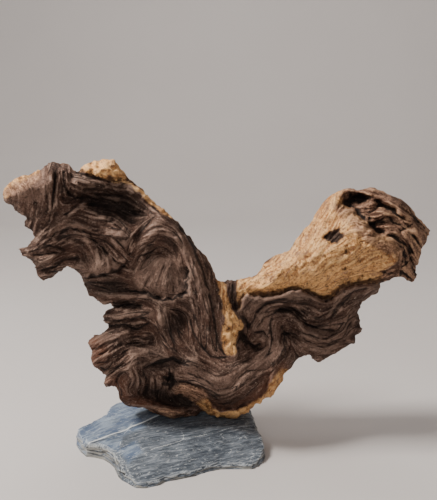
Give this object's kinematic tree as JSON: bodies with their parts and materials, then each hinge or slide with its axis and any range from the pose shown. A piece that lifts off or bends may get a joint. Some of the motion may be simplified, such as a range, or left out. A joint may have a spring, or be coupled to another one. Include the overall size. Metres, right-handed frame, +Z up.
{
  "type": "mopani root on slate",
  "caption": "Eroded root with a dark folded front, a pale crown and a broken hollow limb, standing on a split slate plate; decorates a tank or terrarium.",
  "frame": {"origin": "on the surface that the plate stands on, under the middle of the whole piece", "axes": "+X to the right as seen from the carved front, from the wing to the limb; +Y away from the viewer, towards the pale back; +Z up"},
  "size_m": [0.28, 0.1097, 0.2001],
  "materials": {
    "mopani_wood": "matt, weathered",
    "slate": "matt, split",
    "stainless_steel": "satin"
  },
  "bodies": {
    "root": {"root": "mopani_wood", "slate_plate": "slate", "screw_1": "stainless_steel", "screw_2": "stainless_steel"}
  },
  "joints": []
}
